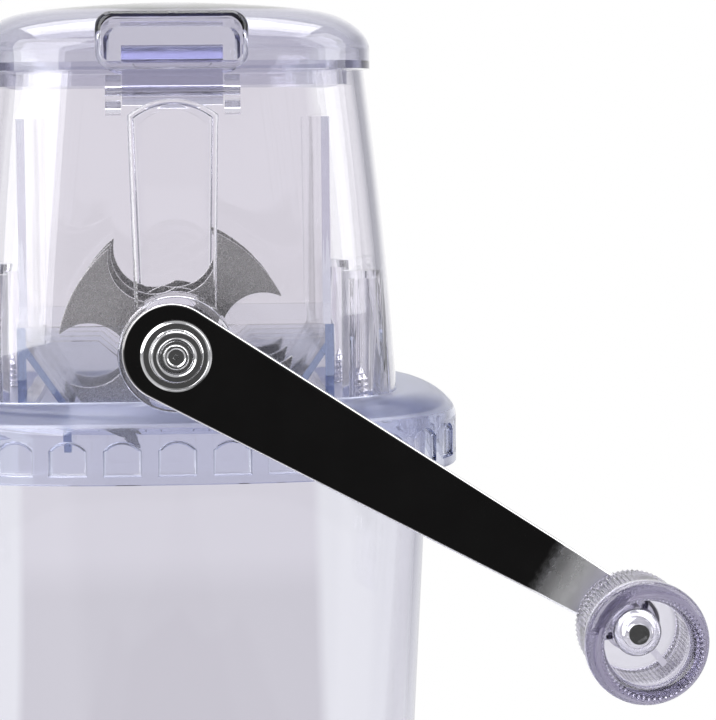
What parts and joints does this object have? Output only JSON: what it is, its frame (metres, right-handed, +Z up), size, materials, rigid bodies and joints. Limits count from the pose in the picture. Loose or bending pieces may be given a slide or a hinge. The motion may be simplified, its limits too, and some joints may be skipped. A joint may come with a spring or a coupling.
{
  "type": "hand-crank ice crusher",
  "caption": "Clear hand-crank ice crusher: hinged lid, hopper with clawed blades on a cranked axle, and a lift-off head over a clear container.",
  "frame": {"origin": "centre of the container's flat underside, at mount rest_face", "axes": "+Z up, crank and knob towards -Y, +X to the right seen from the crank side"},
  "size_m": [0.195, 0.153, 0.25],
  "materials": {
    "clear_plastic": "clear moulded plastic, polished, faint violet cast in thick edges",
    "tinted_plastic": "clear moulded plastic with a blue-violet tint",
    "knob_plastic": "clear violet-tinted plastic, ribbed grip",
    "white_plastic": "white plastic",
    "bush_plastic": "natural bearing plastic",
    "blade_steel": "stainless sheet, satin faces with bright ground edges",
    "zinc_steel": "bright plated steel",
    "black_chrome": "mirror-polished steel that reads black in the studio"
  },
  "bodies": {
    "container": {"container": "clear_plastic"},
    "head": {"collar": "clear_plastic", "hopper": "clear_plastic", "housing_screws": "zinc_steel", "locating_pegs": "white_plastic", "crusher_insert": "tinted_plastic", "front_bush": "bush_plastic", "rear_bush": "bush_plastic", "hinge_pin": "zinc_steel"},
    "lid": {"lid": "tinted_plastic"},
    "crank": {"axle": "zinc_steel", "blade_1": "blade_steel", "blade_2": "blade_steel", "blade_3": "blade_steel", "blade_4": "blade_steel", "blade_5": "blade_steel", "blade_spacers": "blade_steel", "front_spacer": "blade_steel", "rear_spacer": "blade_steel", "crank_arm": "black_chrome", "crank_washer": "zinc_steel", "crank_cap": "zinc_steel", "crank_screw": "zinc_steel", "knob_stud": "zinc_steel", "knob_washer": "zinc_steel"},
    "knob": {"knob": "knob_plastic"}
  },
  "joints": [
    {"name": "head_lift", "type": "slide", "parent": "container", "child": "head", "axis": [0, 0, 1], "range_m": [0, 0.06]},
    {"name": "lid_hinge", "type": "hinge", "parent": "head", "child": "lid", "pos_m": [0, 0.0495, 0.228], "axis": [-1, 0, 0], "range_deg": [0, 105]},
    {"name": "crank_spin", "type": "hinge", "parent": "head", "child": "crank", "pos_m": [0, 0, 0.1642], "axis": [0, 1, 0], "continuous": true},
    {"name": "knob_spin", "type": "hinge", "parent": "crank", "child": "knob", "pos_m": [0.10806, -0.08, 0.09824], "axis": [0, 1, 0], "continuous": true}
  ]
}
